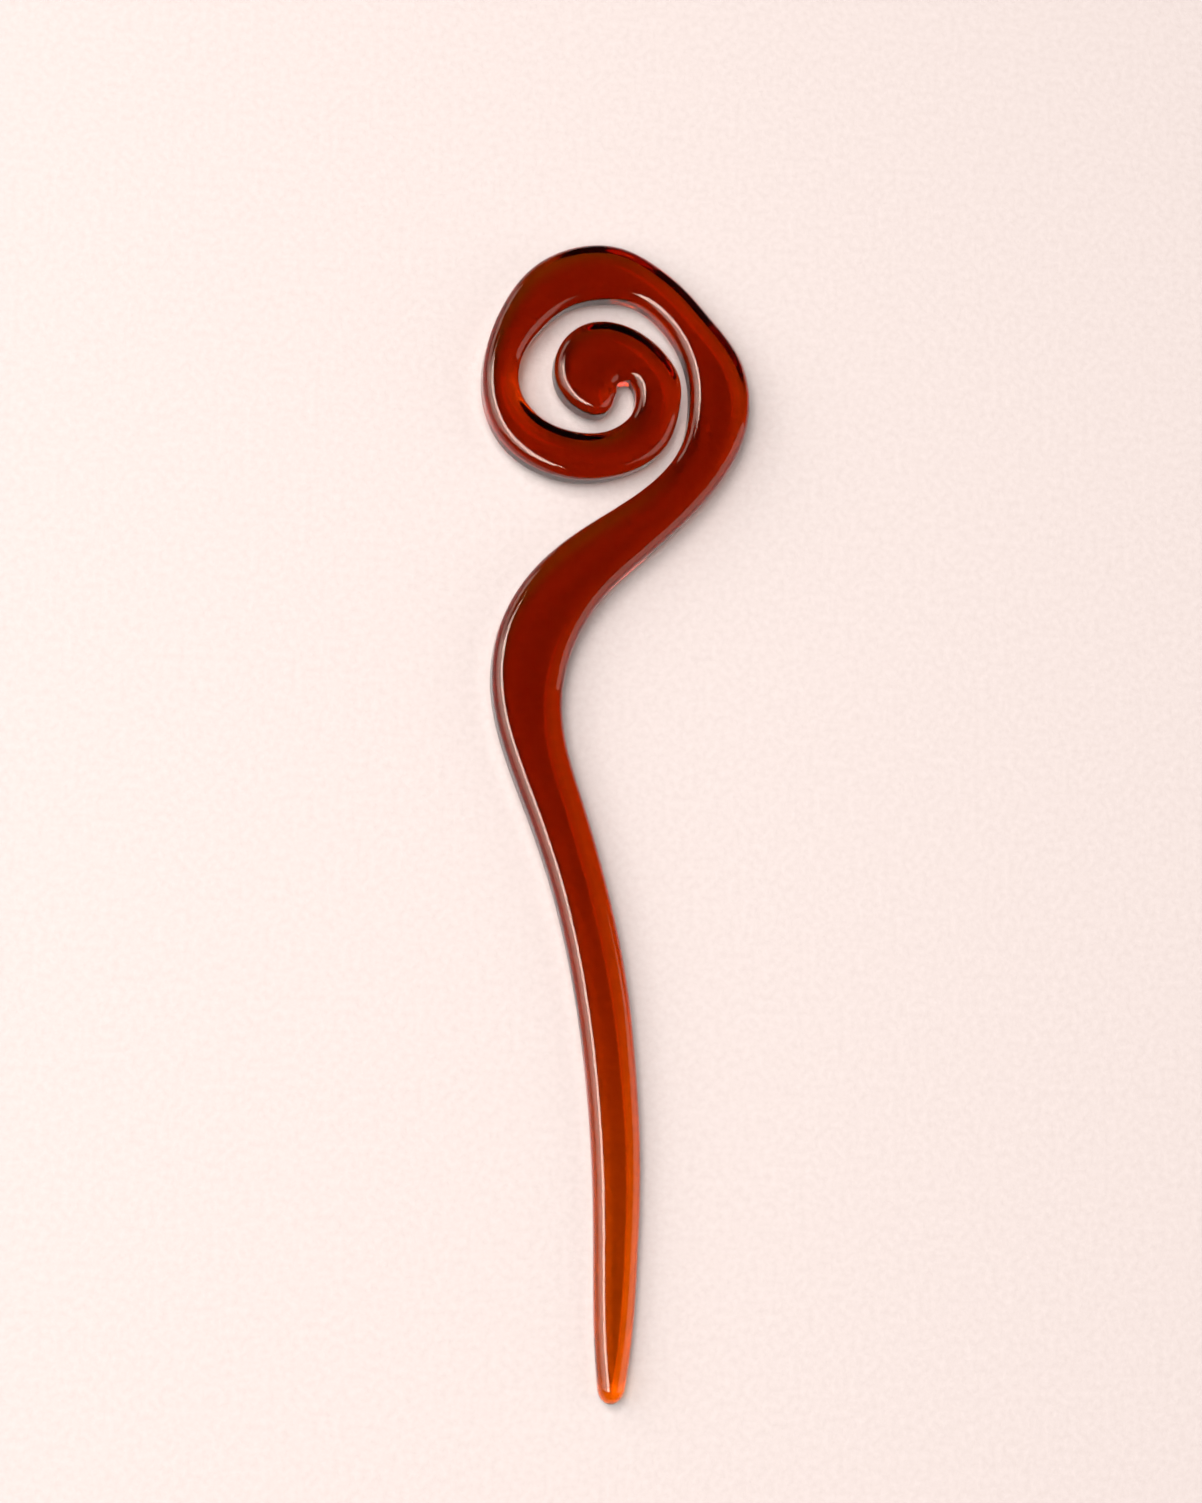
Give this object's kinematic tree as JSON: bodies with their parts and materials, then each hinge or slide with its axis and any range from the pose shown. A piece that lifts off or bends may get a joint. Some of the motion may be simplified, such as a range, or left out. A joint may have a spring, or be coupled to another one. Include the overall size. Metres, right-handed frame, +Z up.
{
  "type": "spiral-headed hair stick",
  "caption": "Flat ribbon hair stick in translucent amber plastic: a tapering S-curved shaft with a blunt round point, and a head that coils into a flat open spiral.",
  "frame": {"origin": "on the flat underside, under the middle of the bounding box", "axes": "+Y along the stick from its point to its spiral head, +Z up through the sheet's thickness from the flat underside, +X to the right as seen from above"},
  "size_m": [0.0398, 0.17, 0.006],
  "materials": {
    "acetate": "polished translucent amber-brown cellulose acetate"
  },
  "bodies": {
    "root": {"hair_stick": "acetate"}
  },
  "joints": []
}
